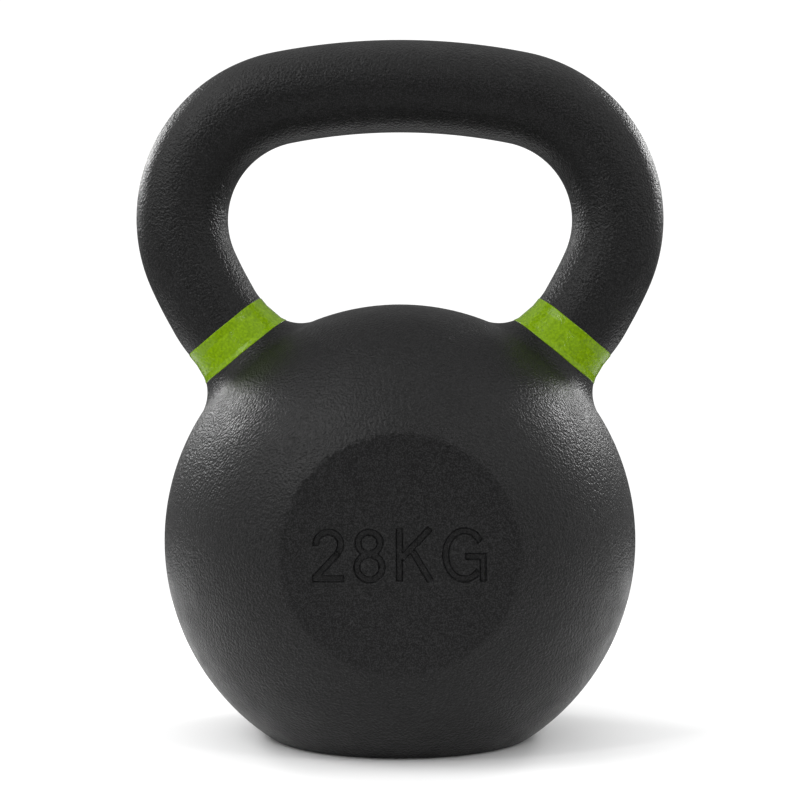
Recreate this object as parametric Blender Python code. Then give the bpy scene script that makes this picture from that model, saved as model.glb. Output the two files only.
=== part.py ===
# Cast iron kettlebell: one casting (bell, handle and necks) and two enamel colour bands.
# The bell's middle stands over the origin, the flat base is on z = 0 and the front faces -Y.
import bpy
import bmesh
from math import acos, atan2, cos, pi, radians, sin, sqrt
from mathutils import Matrix, Vector

for old in list(bpy.data.objects):
    bpy.data.objects.remove(old, do_unlink=True)

# Bell
bell_radius = 0.0954
base_cut_depth = 0.0157
face_cut_depth = 0.0104
edge_rounding = 0.0050

# Handle, given by its centreline on the right-hand side
grip_radius = 0.0186
hand_clearance = 0.0708
top_bend_radius = 0.2490
top_bend_angle = radians(11.15)
corner_bend_radius = 0.0507
leg_bend_radius = 0.1640
leg_bend_angle = radians(4.8)
leg_straight = 0.0050
neck_bend_radius = 0.0410
neck_bend_angle = radians(9.85)
neck_tilt = radians(38.9)
neck_fillet_radius = 0.0180

# Colour bands
band_standoff = 0.0031
band_width = 0.0137
band_thickness = 0.0010
band_fit_gap = 0.0003

# Weight marking on the front face
mark_height = 0.0188
mark_stroke_width = 0.0022
mark_depth = 0.0012

# Mesh fineness and working allowances
bell_segments = 72
face_edge_steps = 3
bell_profile_steps = 26
grip_segments = 32
top_bend_steps = 3
corner_bend_steps = 12
leg_bend_steps = 2
neck_bend_steps = 3
neck_steps = 6
base_edge_steps = 4
neck_embed = 0.0005
rim_embed = 0.0003
neck_root_depth = 0.0200
cutter_reach = 0.0700
mark_arc_steps = 20

corner_bend_angle = pi / 2 + neck_tilt - top_bend_angle - leg_bend_angle - neck_bend_angle
bell_height = bell_radius - base_cut_depth
face_distance = bell_radius - face_cut_depth
bell_middle = Vector((0.0, 0.0, bell_height))
apex = Vector((0.0, 0.0, bell_height + bell_radius + hand_clearance + grip_radius))


def paint(name, colour, roughness, metallic):
    material = bpy.data.materials.new(name)
    material.use_nodes = True
    shader = material.node_tree.nodes["Principled BSDF"]
    shader.inputs["Base Color"].default_value = (*colour, 1.0)
    shader.inputs["Roughness"].default_value = roughness
    shader.inputs["Metallic"].default_value = metallic
    return material


def addObject(name, bm, material=None):
    bmesh.ops.recalc_face_normals(bm, faces=bm.faces)
    mesh = bpy.data.meshes.new(name)
    bm.to_mesh(mesh)
    bm.free()
    thing = bpy.data.objects.new(name, mesh)
    bpy.context.scene.collection.objects.link(thing)
    if material is not None:
        mesh.materials.append(material)
    return thing


def addCutter(name, bm, collection=None):
    cutter = addObject(name, bm)
    cutter.hide_render = True
    cutter.display_type = "WIRE"
    if collection is not None:
        bpy.context.scene.collection.objects.unlink(cutter)
        collection.objects.link(cutter)
    return cutter


def combine(thing, operation, other, name):
    step = thing.modifiers.new(name, "BOOLEAN")
    step.operation = operation
    step.solver = "EXACT"
    step.object = other


def roundedEdge(depth, radius, sphere):
    """Where a rounding of this radius leaves a flat at this distance and meets the sphere."""
    flat = sqrt((sphere - radius) ** 2 - (depth - radius) ** 2)
    angle = atan2(flat, depth - radius)
    return flat, angle


def makeBell():
    # Half outline from the front flat to the back flat, turned about the Y axis
    flat, meet = roundedEdge(face_distance, edge_rounding, bell_radius)
    outline = []
    for i in range(face_edge_steps):
        turn = meet * i / face_edge_steps
        along = face_distance - edge_rounding * (1 - cos(turn))
        outline.append((flat + edge_rounding * sin(turn), -along))
    for i in range(bell_profile_steps + 1):
        turn = meet + (pi - 2 * meet) * i / bell_profile_steps
        outline.append((bell_radius * sin(turn), -bell_radius * cos(turn)))
    for i in reversed(range(face_edge_steps)):
        across, along = outline[i]
        outline.append((across, -along))
    bm = bmesh.new()
    verts = [bm.verts.new((across, along, 0.0)) for across, along in outline]
    edges = [bm.edges.new(pair) for pair in zip(verts, verts[1:])]
    bmesh.ops.spin(bm, geom=verts + edges, cent=(0, 0, 0), axis=(0, 1, 0), angle=2 * pi,
                   steps=bell_segments, use_merge=True)
    bmesh.ops.holes_fill(bm, edges=bm.edges, sides=0)
    bmesh.ops.translate(bm, verts=bm.verts, vec=bell_middle)
    return bm


def makeBaseForm():
    # A bowl-shaped block whose flat floor and rounded rim leave the bell's standing face
    inner = bell_radius - rim_embed
    flat, meet = roundedEdge(bell_height, edge_rounding, inner)
    bm = bmesh.new()
    outline = [(0.0, 0.0)]
    for i in range(base_edge_steps + 1):
        turn = meet * i / base_edge_steps
        outline.append((flat + edge_rounding * sin(turn), edge_rounding * (1 - cos(turn))))
    reach = 4 * bell_radius
    across, up = outline[-1]
    outline.append((across + reach * cos(meet), up + reach * sin(meet)))
    outline.append((0.0, outline[-1][1]))
    verts = [bm.verts.new((across, 0.0, up)) for across, up in outline]
    edges = [bm.edges.new(pair) for pair in zip(verts, verts[1:])]
    bmesh.ops.spin(bm, geom=verts + edges, cent=(0, 0, 0), axis=(0, 0, 1), angle=2 * pi,
                   steps=bell_segments, use_merge=True)
    bmesh.ops.remove_doubles(bm, verts=bm.verts, dist=1e-6)
    return bm


def vertsOf(edges):
    return list({vert for edge in edges for vert in edge.verts})


def edgesIn(items):
    return [item for item in items if isinstance(item, bmesh.types.BMEdge)]


def makeHandle(offset):
    # The whole handle with its flared necks, its skin moved outward by the offset
    radius = grip_radius + offset
    fillet = neck_fillet_radius - offset
    seat = bell_radius - neck_embed + offset
    bm = bmesh.new()
    azimuth = bm.verts.layers.float.new("azimuth")
    upright = Matrix.Translation(apex) @ Matrix.Rotation(pi / 2, 4, "Y")
    bmesh.ops.create_circle(bm, segments=grip_segments, radius=radius, matrix=upright)
    end = list(bm.edges)

    point = apex
    heading = 0.0
    bends = ((top_bend_radius, top_bend_angle, top_bend_steps, 0.0),
             (corner_bend_radius, corner_bend_angle, corner_bend_steps, 0.0),
             (leg_bend_radius, leg_bend_angle, leg_bend_steps, leg_straight),
             (neck_bend_radius, neck_bend_angle, neck_bend_steps, 0.0))
    for bend_radius, bend_angle, steps, straight in bends:
        centre = point - bend_radius * Vector((sin(heading), 0.0, cos(heading)))
        made = bmesh.ops.spin(bm, geom=end + vertsOf(end), cent=centre, axis=(0, 1, 0),
                              angle=bend_angle, steps=steps)
        end = edgesIn(made["geom_last"])
        heading += bend_angle
        point = centre + bend_radius * Vector((sin(heading), 0.0, cos(heading)))
        if straight > 0:
            run = straight * Vector((cos(heading), 0.0, -sin(heading)))
            end = edgesIn(bmesh.ops.extrude_edge_only(bm, edges=end)["geom"])
            bmesh.ops.translate(bm, verts=vertsOf(end), vec=run)
            point = point + run

    # Each neck follows a ball rolled round the corner between the leg and the bell
    along = Vector((cos(heading), 0.0, -sin(heading)))
    outward = Vector((sin(heading), 0.0, cos(heading)))
    sideways = Vector((0.0, 1.0, 0.0))
    for vert in vertsOf(end):
        arm = vert.co - point
        vert[azimuth] = atan2(arm.dot(sideways), arm.dot(outward))
    for step in range(neck_steps + 1):
        end = edgesIn(bmesh.ops.extrude_edge_only(bm, edges=end)["geom"])
        for vert in vertsOf(end):
            normal = cos(vert[azimuth]) * outward + sin(vert[azimuth]) * sideways
            start = point + (radius + fillet) * normal
            ahead = (bell_middle - start).dot(along)
            aside = (bell_middle - start).length_squared - ahead ** 2
            ball = start + along * (ahead - sqrt((seat + fillet) ** 2 - aside))
            to_bell = (bell_middle - ball).normalized()
            sweep = acos(-normal.dot(to_bell))
            done = sweep * step / neck_steps
            vert.co = ball + fillet / sin(sweep) * (to_bell * sin(done) - normal * sin(sweep - done))

    # Close the root well inside the bell
    end = edgesIn(bmesh.ops.extrude_edge_only(bm, edges=end)["geom"])
    root = vertsOf(end)
    middle = sum((vert.co for vert in root), Vector()) / len(root)
    tip = middle + (bell_middle - middle).normalized() * neck_root_depth
    bmesh.ops.pointmerge(bm, verts=root, merge_co=tip)

    bmesh.ops.mirror(bm, geom=bm.verts[:] + bm.edges[:] + bm.faces[:], axis="X", merge_dist=1e-6)
    bmesh.ops.remove_doubles(bm, verts=bm.verts, dist=1e-6)
    return bm


def makeSlab(side, near, far):
    # A block square to the band's direction, between two distances from the bell's middle
    direction = Vector((side * sin(neck_tilt), 0.0, cos(neck_tilt)))
    middle = bell_middle + direction * (near + far) / 2
    place = (Matrix.Translation(middle) @ Matrix.Rotation(side * neck_tilt, 4, "Y")
             @ Matrix.Diagonal((cutter_reach, cutter_reach, far - near, 1.0)))
    bm = bmesh.new()
    bmesh.ops.create_cube(bm, size=1.0, matrix=place)
    return bm


def makeLineStroke(start, end):
    # A straight groove cutter across the front face
    begin = Vector((start[0], 0.0, start[1])) * mark_height
    finish = Vector((end[0], 0.0, end[1])) * mark_height
    run = finish - begin
    middle = (begin + finish) / 2 + Vector((0.0, -face_distance, 0.0)) + bell_middle
    place = (Matrix.Translation(middle) @ Matrix.Rotation(-atan2(run.z, run.x), 4, "Y")
             @ Matrix.Diagonal((run.length, 2 * mark_depth, mark_stroke_width, 1.0)))
    bm = bmesh.new()
    bmesh.ops.create_cube(bm, size=1.0, matrix=place)
    return bm


def makeArcStroke(centre, radii, begin, finish):
    # A curved groove cutter, round or oval, between two angles from the reading direction
    half = mark_stroke_width / 2
    closed = finish - begin >= 360
    bm = bmesh.new()
    corners = [bm.verts.new((side * half, deep * mark_depth, 0.0))
               for side, deep in ((-1, -1), (1, -1), (1, 1), (-1, 1))]
    edges = [bm.edges.new((corners[i], corners[(i + 1) % 4])) for i in range(4)]
    geom = corners + edges
    if not closed:
        geom.append(bm.faces.new(corners))
    bmesh.ops.translate(bm, verts=corners, vec=(1.0, 0.0, 0.0))
    bmesh.ops.spin(bm, geom=geom, cent=(0, 0, 0), axis=(0, -1, 0), angle=radians(finish - begin),
                   steps=mark_arc_steps, use_merge=closed)
    bmesh.ops.rotate(bm, verts=bm.verts, cent=(0, 0, 0), matrix=Matrix.Rotation(-radians(begin), 3, "Y"))
    for vert in bm.verts:
        angle = atan2(vert.co.z, vert.co.x)
        away = sqrt(vert.co.x ** 2 + vert.co.z ** 2) - 1.0
        on_line = Vector((radii[0] * cos(angle), 0.0, radii[1] * sin(angle))) * mark_height
        across = Vector((radii[1] * cos(angle), 0.0, radii[0] * sin(angle))).normalized()
        vert.co = on_line + across * away + Vector((0.0, vert.co.y, 0.0))
    middle = Vector((centre[0] * mark_height, -face_distance, centre[1] * mark_height)) + bell_middle
    bmesh.ops.translate(bm, verts=bm.verts, vec=middle)
    return bm


# Strokes in marking heights from the middle of the front face: (start, end) for straight ones,
# (middle, radii, first angle, last angle) for curved ones
line_strokes = (
    ((-1.19, 0.02), (-1.63, -0.45)),
    ((-1.67, -0.45), (-1.07, -0.45)),
    ((-0.01, 0.50), (-0.01, -0.50)),
    ((0.03, -0.07), (0.57, 0.50)),
    ((0.24, 0.07), (0.58, -0.50)),
    ((1.25, -0.03), (1.64, -0.03)),
    ((1.585, -0.03), (1.585, -0.50)),
)
arc_strokes = (
    ((-1.365, 0.20), (0.235, 0.235), -40, 185),
    ((-0.59, 0.225), (0.21, 0.21), 0, 360),
    ((-0.58, -0.235), (0.24, 0.24), 0, 360),
    ((1.23, 0.0), (0.36, 0.46), 34, 318),
)

coat = paint("black_powder_coat", (0.022, 0.022, 0.023), 0.62, 0.0)
enamel = paint("green_enamel", (0.21, 0.41, 0.012), 0.30, 0.0)

marks = bpy.data.collections.new("mark_cutters")
bpy.context.scene.collection.children.link(marks)
for i, (start, end) in enumerate(line_strokes):
    addCutter(f"line_cutter_{i + 1}", makeLineStroke(start, end), marks)
for i, stroke in enumerate(arc_strokes):
    addCutter(f"arc_cutter_{i + 1}", makeArcStroke(*stroke), marks)

casting = addObject("casting", makeBell(), coat)
combine(casting, "INTERSECT", addCutter("base_form", makeBaseForm()), "flat base")
combine(casting, "UNION", addCutter("handle_form", makeHandle(0.0)), "handle")

band_near = bell_radius + band_standoff
band_far = band_near + band_width
seat_core = addCutter("band_seat_core", makeHandle(-band_thickness - band_fit_gap))
band_core = addCutter("band_core", makeHandle(-band_thickness))
for side_name, side in (("left", -1), ("right", 1)):
    seat = addCutter(f"{side_name}_band_seat", makeSlab(side, band_near, band_far))
    combine(seat, "DIFFERENCE", seat_core, "neck inside the seat")
    combine(casting, "DIFFERENCE", seat, f"{side_name} band seat")

    band = addObject(f"{side_name}_color_band", makeHandle(0.0), enamel)
    slab = addCutter(f"{side_name}_band_slab",
                     makeSlab(side, band_near + band_fit_gap, band_far - band_fit_gap))
    combine(band, "INTERSECT", slab, "band width")
    combine(band, "DIFFERENCE", band_core, "neck inside the band")

marking = casting.modifiers.new("weight marking", "BOOLEAN")
marking.operation = "DIFFERENCE"
marking.solver = "EXACT"
marking.operand_type = "COLLECTION"
marking.collection = marks

for thing in bpy.context.scene.objects:
    if not thing.hide_render:
        thing.data.shade_smooth()
        thing.data.set_sharp_from_angle(angle=radians(30))
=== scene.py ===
from math import atan2, cos, degrees, pi, radians, sin, sqrt

import bmesh
import bpy
from mathutils import Matrix, Vector


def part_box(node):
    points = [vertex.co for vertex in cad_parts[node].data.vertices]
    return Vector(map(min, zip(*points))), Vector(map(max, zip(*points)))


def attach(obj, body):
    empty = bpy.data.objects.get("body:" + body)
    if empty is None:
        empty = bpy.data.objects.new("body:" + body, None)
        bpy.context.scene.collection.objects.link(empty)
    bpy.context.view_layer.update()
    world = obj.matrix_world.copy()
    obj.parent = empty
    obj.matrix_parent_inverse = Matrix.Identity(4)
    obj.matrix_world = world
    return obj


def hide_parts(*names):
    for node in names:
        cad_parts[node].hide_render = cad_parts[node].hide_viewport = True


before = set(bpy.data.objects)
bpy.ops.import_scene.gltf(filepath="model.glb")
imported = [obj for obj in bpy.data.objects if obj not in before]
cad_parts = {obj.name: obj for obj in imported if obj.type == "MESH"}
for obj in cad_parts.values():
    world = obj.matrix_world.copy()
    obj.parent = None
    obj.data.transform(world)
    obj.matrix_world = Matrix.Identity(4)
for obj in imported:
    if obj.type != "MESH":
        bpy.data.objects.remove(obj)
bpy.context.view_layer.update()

# a millimetre comes from the casting's own height, so every size follows the frame
castingHeight = 283.1
castingLow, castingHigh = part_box("casting")
mm = (castingHigh.z - castingLow.z) / castingHeight
mergeDistance = 0.001 * mm
sharpAngle = radians(35)
print("frame loaded, one millimetre is", round(mm, 6))


def once(items):
    return list(dict.fromkeys(items))


def vertsOf(edges):
    return once(vert for edge in edges for vert in edge.verts)


def edgesIn(items):
    return [item for item in items if isinstance(item, bmesh.types.BMEdge)]


def growEdges(bm, edges):
    # the next open loop beyond this one
    return edgesIn(bmesh.ops.extrude_edge_only(bm, edges=edges)["geom"])


def putInOrder(bm):
    # the operators number what they make differently from run to run, so it is numbered
    # afresh: vertices by place, then edges and faces by their vertices
    def byPlace(vert):
        return [round(part, 7) for part in vert.co]

    def byVerts(item):
        return sorted(vert.index for vert in item.verts)

    for items, key in ((bm.verts, byPlace), (bm.edges, byVerts), (bm.faces, byVerts)):
        for i, item in enumerate(sorted(items, key=key)):
            item.index = i
        items.sort()


def smoothFaces(mesh):
    mesh.shade_smooth()
    mesh.set_sharp_from_angle(angle=sharpAngle)


def newPiece(name, bm):
    putInOrder(bm)
    bmesh.ops.recalc_face_normals(bm, faces=bm.faces)
    mesh = bpy.data.meshes.new(name)
    bm.to_mesh(mesh)
    bm.free()
    smoothFaces(mesh)
    piece = bpy.data.objects.new(name, mesh)
    bpy.context.scene.collection.objects.link(piece)
    return piece


def joinWith(piece, operation, other):
    # a Boolean that is applied at once, after which the other shape is dropped
    step = piece.modifiers.new(operation.lower(), "BOOLEAN")
    step.operation = operation
    step.solver = "EXACT"
    step.object = other
    depsgraph = bpy.context.evaluated_depsgraph_get()
    joined = bpy.data.meshes.new_from_object(piece.evaluated_get(depsgraph))
    bm = bmesh.new()
    bm.from_mesh(joined)
    putInOrder(bm)
    bm.to_mesh(joined)
    bm.free()
    piece.modifiers.clear()
    piece.data = joined
    bpy.data.objects.remove(other)


# the bell: a turned outline with a flat face in front and behind, cut level at the base
bell = {
    "radius": 95.4 * mm,
    "middle": Vector((0, 0, 79.7 * mm)),
    "faceDistance": (castingHigh.y - castingLow.y) / 2,
    "edgeRounding": 5.0 * mm,
    "flatMargin": 1.0 * mm,
    "segments": 192,
    "edgeSteps": 7,
    "outlineSteps": 84,
    "rimEmbed": 0.10 * mm,
}

marking = {
    "height": 18.8 * mm,
    "strokeWidth": 2.2 * mm,
    "depth": 1.2 * mm,
    "wall": 0.55 * mm,
    "panel": (68 * mm, 23.2 * mm),
    "cells": (340, 116),
}

# the marking's strokes, in marking heights from the middle of the face: start and end for
# straight ones; middle, radii, first and last angle in degrees for curved ones
lineStrokes = (
    ((-1.19, 0.02), (-1.63, -0.45)),
    ((-1.67, -0.45), (-1.07, -0.45)),
    ((-0.01, 0.50), (-0.01, -0.50)),
    ((0.03, -0.07), (0.57, 0.50)),
    ((0.24, 0.07), (0.58, -0.50)),
    ((1.25, -0.03), (1.64, -0.03)),
    ((1.585, -0.03), (1.585, -0.50)),
)
arcStrokes = (
    ((-1.365, 0.20), (0.235, 0.235), -40, 185),
    ((-0.59, 0.225), (0.21, 0.21), 0, 360),
    ((-0.58, -0.235), (0.24, 0.24), 0, 360),
    ((1.23, 0.0), (0.36, 0.46), 34, 318),
)


def lineGap(u, v, start, end):
    # signed distance to the edge of a straight stroke, negative inside it
    half = marking["strokeWidth"] / marking["height"] / 2
    dx, dz = end[0] - start[0], end[1] - start[1]
    length = sqrt(dx * dx + dz * dz)
    along = ((u - start[0]) * dx + (v - start[1]) * dz) / length
    across = abs((u - start[0]) * dz - (v - start[1]) * dx) / length - half
    beyond = abs(along - length / 2) - length / 2
    if across > 0 and beyond > 0:
        return sqrt(across * across + beyond * beyond)
    return max(across, beyond)


def arcGap(u, v, middle, radii, first, last):
    # the same for a curved stroke
    half = marking["strokeWidth"] / marking["height"] / 2
    x, z = (u - middle[0]) / radii[0], (v - middle[1]) / radii[1]
    ring = sqrt(x * x + z * z) + 1e-9  # never zero, as it divides below
    slope = sqrt((x / radii[0]) ** 2 + (z / radii[1]) ** 2) / ring
    across = abs(ring - 1) / slope - half
    turn = (degrees(atan2(z, x)) - first) % 360
    span = last - first
    past = 0 if turn <= span else min(turn - span, 360 - turn)
    beyond = radians(past) * (radii[0] + radii[1]) / 2
    if past == 0 and span < 360:
        beyond = -radians(min(turn, span - turn)) * (radii[0] + radii[1]) / 2
    elif span >= 360:
        beyond = -1.0
    if across > 0 and beyond > 0:
        return sqrt(across * across + beyond * beyond)
    return max(across, beyond)


def markingDepth(x, z):
    # how far the face is pressed in at this point, with soft walls
    u, v = x / marking["height"], z / marking["height"]
    gap = min([lineGap(u, v, *stroke) for stroke in lineStrokes]
              + [arcGap(u, v, *stroke) for stroke in arcStrokes])
    inside = min(max(0.5 - gap * marking["height"] / marking["wall"], 0.0), 1.0)
    return marking["depth"] * inside * inside * (3 - 2 * inside)


def roundedEdge(distance, rounding, radius):
    # where a flat cut this far from the ball's middle rounds into it: the flat's radius and
    # the angle at which the rounding meets the ball
    flat = sqrt((radius - rounding) ** 2 - (distance - rounding) ** 2)
    return flat, atan2(flat, distance - rounding)


def makeBell():
    # the outline runs from the front face round to the back one, as distance from the axis
    # and distance along it
    radius, rounding, face = bell["radius"], bell["edgeRounding"], bell["faceDistance"]
    flat, meet = roundedEdge(face, rounding, radius)
    front = [(flat - bell["flatMargin"], -face)]
    for i in range(bell["edgeSteps"]):
        turn = meet * i / bell["edgeSteps"]
        front.append((flat + rounding * sin(turn), rounding * (1 - cos(turn)) - face))
    outline = list(front)
    for i in range(bell["outlineSteps"] + 1):
        turn = meet + (pi - 2 * meet) * i / bell["outlineSteps"]
        outline.append((radius * sin(turn), -radius * cos(turn)))
    outline += [(across, -along) for across, along in reversed(front)]
    bm = bmesh.new()
    verts = [bm.verts.new((across, along, 0)) for across, along in outline]
    edges = [bm.edges.new(pair) for pair in zip(verts, verts[1:])]
    bmesh.ops.spin(bm, geom=verts + edges, cent=(0, 0, 0), axis=(0, 1, 0), angle=2 * pi,
                   steps=bell["segments"], use_merge=True)
    rims = [edge for edge in bm.edges if edge.is_boundary]
    backRim = [edge for edge in rims if edge.verts[0].co.y > 0]
    frontRim = [edge for edge in rims if edge.verts[0].co.y < 0]
    bmesh.ops.holes_fill(bm, edges=backRim, sides=0)

    # the front face holds a fine panel that the marking is pressed into
    width, height = marking["panel"]
    size = Matrix.Diagonal((width / 2, height / 2, 1, 1))
    place = Matrix.Translation((0, -face, 0)) @ Matrix.Rotation(pi / 2, 4, "X") @ size
    across, up = marking["cells"]
    grid = bmesh.ops.create_grid(bm, x_segments=across, y_segments=up, size=1,
                                 matrix=place)["verts"]
    gridEdges = once(edge for vert in grid for edge in vert.link_edges)
    gridRim = [edge for edge in gridEdges if edge.is_boundary]
    bmesh.ops.triangle_fill(bm, use_beauty=True, use_dissolve=False, edges=frontRim + gridRim,
                            normal=(0, -1, 0))
    for vert in grid:
        vert.co.y += markingDepth(vert.co.x, vert.co.z)
    bmesh.ops.translate(bm, verts=bm.verts, vec=bell["middle"])
    return bm


def makeBaseForm():
    # a bowl with a flat foot and a rounded rim: the bell keeps only what lies inside it
    rounding = bell["edgeRounding"]
    flat, meet = roundedEdge(bell["middle"].z, rounding, bell["radius"] - bell["rimEmbed"])
    outline = [(0, 0), (flat - bell["flatMargin"], 0)]
    for i in range(bell["edgeSteps"] + 1):
        turn = meet * i / bell["edgeSteps"]
        outline.append((flat + rounding * sin(turn), rounding * (1 - cos(turn))))
    reach = 4 * bell["radius"]  # well past the bell
    across, up = outline[-1]
    outline += [(across + reach * cos(meet), up + reach * sin(meet)), (0, up + reach * sin(meet))]
    bm = bmesh.new()
    verts = [bm.verts.new((across, 0, up)) for across, up in outline]
    edges = [bm.edges.new(pair) for pair in zip(verts, verts[1:])]
    bmesh.ops.spin(bm, geom=verts + edges, cent=(0, 0, 0), axis=(0, 0, 1), angle=2 * pi,
                   steps=bell["segments"], use_merge=True)
    bmesh.ops.remove_doubles(bm, verts=bm.verts, dist=mergeDistance)
    return bm


# the handle: a round bar swept through the bends of one side, flared into the bell, mirrored
handle = {
    "radius": 18.6 * mm,
    "bends": (
        # radius, angle, steps and the straight run after it
        (249.0 * mm, radians(11.15), 18, 0),
        (50.7 * mm, radians(103.1), 46, 0),
        (164.0 * mm, radians(4.8), 6, 5.0 * mm),
        (41.0 * mm, radians(9.85), 6, 0),
    ),
    "neckFillet": 18.0 * mm,
    "neckSteps": 20,
    "neckEmbed": 0.08 * mm,
    "rootDepth": 20 * mm,
    "segments": 96,
}
apex = Vector((0, 0, castingHigh.z - handle["radius"]))


def followBends():
    # each bend of the right-hand side with its centre and the run after it, and then where
    # the last one ends and its direction
    bends, point, heading = [], apex, 0.0
    for bendRadius, bendAngle, steps, straight in handle["bends"]:
        centre = point - bendRadius * Vector((sin(heading), 0, cos(heading)))
        heading += bendAngle
        run = straight * Vector((cos(heading), 0, -sin(heading)))
        point = centre + bendRadius * Vector((sin(heading), 0, cos(heading))) + run
        bends.append((centre, bendAngle, steps, run))
    return bends, point, heading


handleBends, neckStart, neckHeading = followBends()
neckAlong = Vector((cos(neckHeading), 0, -sin(neckHeading)))
neckOutward = Vector((sin(neckHeading), 0, cos(neckHeading)))


def neckSection(azimuth):
    # the direction out of the neck at this azimuth, the fillet's centre along and across the
    # neck, and the angle at which it reaches the bell
    normal = cos(azimuth) * neckOutward + sin(azimuth) * Vector((0, 1, 0))
    toMiddle = bell["middle"] - neckStart
    across, along = toMiddle.dot(normal), toMiddle.dot(neckAlong)
    aside = toMiddle.dot(neckAlong.cross(normal))
    seat = sqrt((bell["radius"] - handle["neckEmbed"]) ** 2 - aside ** 2) + handle["neckFillet"]
    centreAcross = handle["radius"] + handle["neckFillet"]
    centreAlong = along - sqrt(seat ** 2 - (centreAcross - across) ** 2)
    return normal, centreAlong, centreAcross, atan2(along - centreAlong, centreAcross - across)


def neckPoint(azimuth, share):
    # a point of the fillet, from its start on the bar at 0 to the bell at 1
    normal, centreAlong, centreAcross, sweep = neckSection(azimuth)
    fillet = handle["neckFillet"]
    along = centreAlong + fillet * sin(sweep * share)
    return neckStart + neckAlong * along + normal * (centreAcross - fillet * cos(sweep * share))


def makeHandle():
    bm = bmesh.new()
    azimuth = bm.verts.layers.float.new("azimuth")
    upright = Matrix.Translation(apex) @ Matrix.Rotation(pi / 2, 4, "Y")
    bmesh.ops.create_circle(bm, segments=handle["segments"], radius=handle["radius"],
                            matrix=upright)
    end = list(bm.edges)
    for centre, bendAngle, steps, run in handleBends:
        made = bmesh.ops.spin(bm, geom=end + vertsOf(end), cent=centre, axis=(0, 1, 0),
                              angle=bendAngle, steps=steps)
        end = edgesIn(made["geom_last"])
        if run.length > 0:
            end = growEdges(bm, end)
            bmesh.ops.translate(bm, verts=vertsOf(end), vec=run)

    # the flare: every vertex keeps its azimuth round the neck and slides down its own fillet
    for vert in vertsOf(end):
        arm = vert.co - neckStart
        vert[azimuth] = atan2(arm.y, arm.dot(neckOutward))
    for step in range(handle["neckSteps"] + 1):
        end = growEdges(bm, end)
        for vert in vertsOf(end):
            vert.co = neckPoint(vert[azimuth], step / handle["neckSteps"])

    # the root is closed well inside the bell
    end = growEdges(bm, end)
    root = vertsOf(end)
    middle = sum((vert.co for vert in root), Vector()) / len(root)
    inward = (bell["middle"] - middle).normalized()
    bmesh.ops.pointmerge(bm, verts=root, merge_co=middle + inward * handle["rootDepth"])
    bmesh.ops.mirror(bm, geom=bm.verts[:] + bm.edges[:] + bm.faces[:], axis="X",
                     merge_dist=mergeDistance)
    bmesh.ops.remove_doubles(bm, verts=bm.verts, dist=mergeDistance)
    return bm


# a band of enamel round each neck, its edges measured from the middle of the bell
band = {
    "near": 98.6 * mm,
    "far": 112.1 * mm,
    "lift": 0.22 * mm,
    "depth": 0.50 * mm,
    "softEdge": 0.50 * mm,
    "unevenness": 0.10 * mm,  # of the edges, in slow and quick waves round the neck
    "slowWaves": 3,
    "quickWaves": 7,
    "quickShare": 0.6,
    "dip": 1.1 * mm,  # the front and back of a band sit this much nearer the bell
    "segments": 160,
    "edgeSteps": 5,
    "steps": 14,
}


def bandOutline():
    # across the enamel: share of the width, distance in from the nearer edge, and lift
    outline = [(0.0, 0.0, -band["depth"])]
    soft, steps = band["softEdge"], band["edgeSteps"]
    for i in range(steps + 1):
        turn = pi / 2 * i / steps
        outline.append((0.0, soft * (1 - cos(turn)), band["lift"] * sin(turn)))
    for i in range(1, band["steps"]):
        share = i / band["steps"]
        outline.append((share, soft * (1 - 2 * share), band["lift"]))
    for i in range(steps + 1):
        turn = pi / 2 * (steps - i) / steps
        outline.append((1.0, -soft * (1 - cos(turn)), band["lift"] * sin(turn)))
    outline.append((1.0, 0.0, -band["depth"]))
    return outline


def bandPoint(azimuth, share, inset, lift):
    # a point of the enamel, raised from the bar or from the fillet it has run onto
    normal, centreAlong, centreAcross, _ = neckSection(azimuth)
    slow = sin(band["slowWaves"] * azimuth + 1)
    quick = sin(band["quickWaves"] * azimuth + 5 * share)
    wander = band["unevenness"] * (slow + band["quickShare"] * quick)
    distance = band["near"] + (band["far"] - band["near"]) * share + inset + wander
    distance -= band["dip"] * sin(azimuth) ** 2
    along = (bell["middle"] - neckStart).dot(neckAlong) - distance
    past = along - centreAlong
    fillet = handle["neckFillet"]
    if past <= 0:
        return neckStart + neckAlong * along + normal * (handle["radius"] + lift)
    turn = atan2(past, sqrt(fillet ** 2 - past ** 2))
    reach = fillet - lift
    return (neckStart + neckAlong * (centreAlong + reach * sin(turn))
            + normal * (centreAcross - reach * cos(turn)))


def makeBand(side):
    bm = bmesh.new()
    azimuth = bm.verts.layers.float.new("azimuth")
    bmesh.ops.create_circle(bm, segments=band["segments"], radius=handle["radius"])
    end = first = list(bm.edges)
    for vert in bm.verts:
        vert[azimuth] = atan2(vert.co.y, vert.co.x)
    for i, (share, inset, lift) in enumerate(bandOutline()):
        if i > 0:
            end = growEdges(bm, end)
        for vert in vertsOf(end):
            vert.co = bandPoint(vert[azimuth], share, inset, lift)
    bmesh.ops.bridge_loops(bm, edges=first + end)
    if side < 0:
        bmesh.ops.scale(bm, verts=bm.verts, vec=(-1, 1, 1))
    return bm


noiseSpan = (0.3, 0.7)  # most of a noise lies between these
noiseRoughness = 0.55


def newMaterial(name):
    material = bpy.data.materials.new(name)
    material.use_nodes = True
    nodes, links = material.node_tree.nodes, material.node_tree.links
    return material, nodes, links, nodes["Principled BSDF"]


def addNoise(nodes, links, source, size, detail):
    noise = nodes.new("ShaderNodeTexNoise")
    noise.inputs["Scale"].default_value = 1 / size
    noise.inputs["Detail"].default_value = detail
    noise.inputs["Roughness"].default_value = noiseRoughness
    links.new(source, noise.inputs["Vector"])
    return noise.outputs["Fac"]


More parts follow.
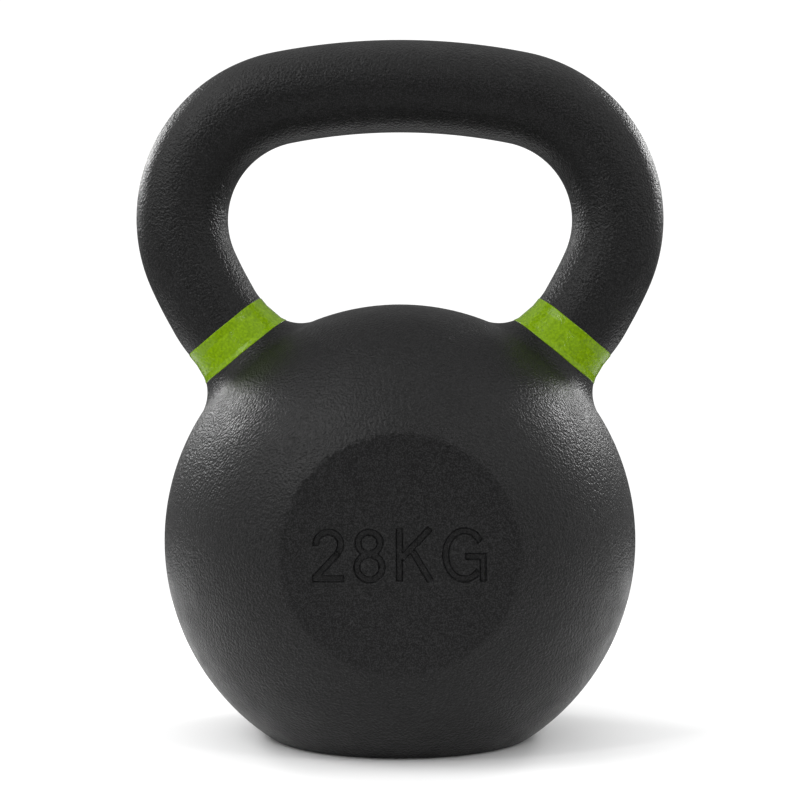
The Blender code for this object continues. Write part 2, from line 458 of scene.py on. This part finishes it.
def addRange(nodes, links, value, low, high, toLow, toHigh):
    spread = nodes.new("ShaderNodeMapRange")
    spread.inputs["From Min"].default_value = low
    spread.inputs["From Max"].default_value = high
    spread.inputs["To Min"].default_value = toLow
    spread.inputs["To Max"].default_value = toHigh
    links.new(value, spread.inputs["Value"])
    return spread.outputs["Result"]


def addBump(nodes, links, height, distance, strength, below=None):
    bump = nodes.new("ShaderNodeBump")
    bump.inputs["Distance"].default_value = distance
    bump.inputs["Strength"].default_value = strength
    links.new(height, bump.inputs["Height"])
    if below is not None:
        links.new(below, bump.inputs["Normal"])
    return bump.outputs["Normal"]


def addColours(nodes, links, value, stops):
    ramp = nodes.new("ShaderNodeValToRGB")
    ramp.color_ramp.elements[0].position = stops[0][0]
    ramp.color_ramp.elements[0].color = (*stops[0][1], 1)
    ramp.color_ramp.elements[1].position = stops[-1][0]
    ramp.color_ramp.elements[1].color = (*stops[-1][1], 1)
    for position, colour in stops[1:-1]:
        ramp.color_ramp.elements.new(position).color = (*colour, 1)
    links.new(value, ramp.inputs["Fac"])
    return ramp.outputs["Color"]


coat = {
    "dark": (0.0004, 0.0004, 0.0004),  # colours of the fine grain
    "mid": (0.0025, 0.0025, 0.0026),
    "light": (0.014, 0.014, 0.0144),
    "grain": 1.03 * mm,
    "fineGrain": 0.43 * mm,
    "swell": 12 * mm,
    "roughness": (0.31, 0.42),
    "specular": 0.17,
    "swellHeight": 0.25 * mm,
    "grainHeight": 0.52 * mm,
    "fineHeight": 0.12 * mm,
    "stops": (0.40, 0.50, 0.60),
    "strengths": (0.5, 1.0, 1.0),  # swell, grain and fine grain
}


def makeCoat():
    material, nodes, links, shader = newMaterial("powder_coated_iron")
    place = nodes.new("ShaderNodeTexCoord").outputs["Object"]
    grain = addNoise(nodes, links, place, coat["grain"], 1.0)
    fine = addNoise(nodes, links, place, coat["fineGrain"], 2.0)
    swell = addNoise(nodes, links, place, coat["swell"], 2.0)
    colours = zip(coat["stops"], (coat["dark"], coat["mid"], coat["light"]))
    links.new(addColours(nodes, links, fine, list(colours)), shader.inputs["Base Color"])
    gloss = addRange(nodes, links, swell, *noiseSpan, *coat["roughness"])
    links.new(gloss, shader.inputs["Roughness"])
    shader.inputs["Specular IOR Level"].default_value = coat["specular"]
    swellStrength, grainStrength, fineStrength = coat["strengths"]
    normal = addBump(nodes, links, swell, coat["swellHeight"], swellStrength)
    normal = addBump(nodes, links, grain, coat["grainHeight"], grainStrength, normal)
    normal = addBump(nodes, links, fine, coat["fineHeight"], fineStrength, normal)
    links.new(normal, shader.inputs["Normal"])
    return material


enamel = {
    "deep": (0.11, 0.20, 0.001),
    "mid": (0.145, 0.258, 0.001),
    "light": (0.19, 0.32, 0.001),
    "grain": 1.1 * mm,
    "fineGrain": 0.4 * mm,
    "roughness": (0.10, 0.20),
    "specular": 0.14,
    "grainHeight": 0.20 * mm,
    "fineHeight": 0.02 * mm,
    "stops": (0.3, 0.5, 0.7),
    "strengths": (0.9, 0.6),  # grain and fine grain
}


def makeEnamel():
    material, nodes, links, shader = newMaterial("green_enamel")
    place = nodes.new("ShaderNodeTexCoord").outputs["Object"]
    grain = addNoise(nodes, links, place, enamel["grain"], 2.0)
    fine = addNoise(nodes, links, place, enamel["fineGrain"], 2.0)
    colours = zip(enamel["stops"], (enamel["deep"], enamel["mid"], enamel["light"]))
    links.new(addColours(nodes, links, grain, list(colours)), shader.inputs["Base Color"])
    gloss = addRange(nodes, links, fine, *noiseSpan, *enamel["roughness"])
    links.new(gloss, shader.inputs["Roughness"])
    shader.inputs["Specular IOR Level"].default_value = enamel["specular"]
    grainStrength, fineStrength = enamel["strengths"]
    normal = addBump(nodes, links, grain, enamel["grainHeight"], grainStrength)
    normal = addBump(nodes, links, fine, enamel["fineHeight"], fineStrength, normal)
    links.new(normal, shader.inputs["Normal"])
    return material


body = newPiece("cast_body", makeBell())
joinWith(body, "INTERSECT", newPiece("base_form", makeBaseForm()))
joinWith(body, "UNION", newPiece("handle_form", makeHandle()))
smoothFaces(body.data)
body.data.materials.clear()
body.data.materials.append(makeCoat())
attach(body, "root")
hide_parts("casting")
print("casting made,", len(body.data.polygons), "faces")

greenEnamel = makeEnamel()
for name, node, side in (("left_enamel_band", "left_color_band", -1),
                         ("right_enamel_band", "right_color_band", 1)):
    ring = newPiece(name, makeBand(side))
    ring.data.materials.append(greenEnamel)
    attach(ring, "root")
    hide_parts(node)
print("bands made")


# the studio: a pale floor, a soft ring of light over the object and five lamps
studio = {
    "cameraDistance": 675.2 * mm,
    "cameraHeight": 128.0 * mm,
    "sensor": 36,
    "lens": 74.25,
    "shiftY": 0.025,
    "nearest": 0.01,  # the camera sees nothing closer
    "lampAim": (0, 0, 0.15),
    "floorSize": 1.0,
    "floorCells": 8,
    "floorTone": 0.98,
    "floorRoughness": 0.7,
    "backdrop": 1.1,
    "belowFloor": 0.1,  # strength of the light from under the floor
    "horizon": -0.1,  # the two blend between this slope and level
    # strength of the light by how far it comes from the front: -1 behind, 0 beside and above
    "ring": ((-1.0, 0.25), (-0.75, 0.3), (-0.5, 0.8), (-0.3, 1.36), (0.35, 1.36), (0.95, 0.6)),
}

# name, place, width, power, in metres and watts
lamps = (
    ("left_rim_lamp", (-0.63, 0.65, 0.54), 0.24, 2.8),
    ("right_rim_lamp", (0.63, 0.65, 0.54), 0.24, 2.8),
    ("left_key_lamp", (-0.72, -0.48, 0.95), 0.50, 4.2),
    ("left_glint_lamp", (-0.50, -0.71, 0.66), 0.10, 1.5),
    ("right_glint_lamp", (0.50, -0.71, 0.66), 0.10, 1.2),
)


def addLamp(name, place, width, power):
    lamp = bpy.data.lights.new(name, "AREA")
    lamp.size = width
    lamp.energy = power
    thing = bpy.data.objects.new(name, lamp)
    thing.location = place
    aim = Vector(studio["lampAim"]) - Vector(place)
    thing.rotation_euler = aim.to_track_quat("-Z", "Y").to_euler()
    bpy.context.scene.collection.objects.link(thing)


def makeFloor():
    bm = bmesh.new()
    bmesh.ops.create_grid(bm, x_segments=studio["floorCells"], y_segments=studio["floorCells"],
                          size=studio["floorSize"] / 2)
    floor = newPiece("floor", bm)
    material, _, _, shader = newMaterial("pale_floor")
    shader.inputs["Base Color"].default_value = (studio["floorTone"],) * 3 + (1,)
    shader.inputs["Roughness"].default_value = studio["floorRoughness"]
    floor.data.materials.append(material)
    return floor


def makeSky():
    # a soft ring of light to the left, right and above, dim in front and behind, and plain
    # white to look at
    world = bpy.data.worlds.new("studio_light")
    world.use_nodes = True
    nodes, links = world.node_tree.nodes, world.node_tree.links
    direction = nodes.new("ShaderNodeTexCoord").outputs["Generated"]
    parts = nodes.new("ShaderNodeSeparateXYZ")
    links.new(direction, parts.inputs[0])
    front = addRange(nodes, links, parts.outputs["Y"], 1, -1, 0, 1)
    strongest = max(strength for _, strength in studio["ring"])
    tones = [((place + 1) / 2, (strength / strongest,) * 3) for place, strength in studio["ring"]]
    glow = addColours(nodes, links, front, tones)
    height = addRange(nodes, links, parts.outputs["Z"], studio["horizon"], 0,
                      studio["belowFloor"], strongest)
    light = nodes.new("ShaderNodeMath")
    light.operation = "MULTIPLY"
    links.new(glow, light.inputs[0])
    links.new(height, light.inputs[1])
    seen = nodes.new("ShaderNodeMix")
    links.new(nodes.new("ShaderNodeLightPath").outputs["Is Camera Ray"], seen.inputs["Factor"])
    links.new(light.outputs["Value"], seen.inputs["A"])
    seen.inputs["B"].default_value = studio["backdrop"]
    background = nodes["Background"]
    background.inputs["Color"].default_value = (1, 1, 1, 1)
    links.new(seen.outputs["Result"], background.inputs["Strength"])
    bpy.context.scene.world = world


makeFloor()
makeSky()
for name, place, width, power in lamps:
    addLamp(name, place, width, power)

lens = bpy.data.cameras.new("camera")
lens.sensor_width = studio["sensor"]
lens.lens = studio["lens"]
lens.shift_y = studio["shiftY"]
lens.clip_start = studio["nearest"]
camera = bpy.data.objects.new("camera", lens)
camera.location = (0, -studio["cameraDistance"], studio["cameraHeight"])
camera.rotation_euler = (radians(90), 0, 0)
bpy.context.scene.collection.objects.link(camera)
bpy.context.scene.camera = camera
bpy.context.scene.view_settings.view_transform = "Standard"
print("studio set")
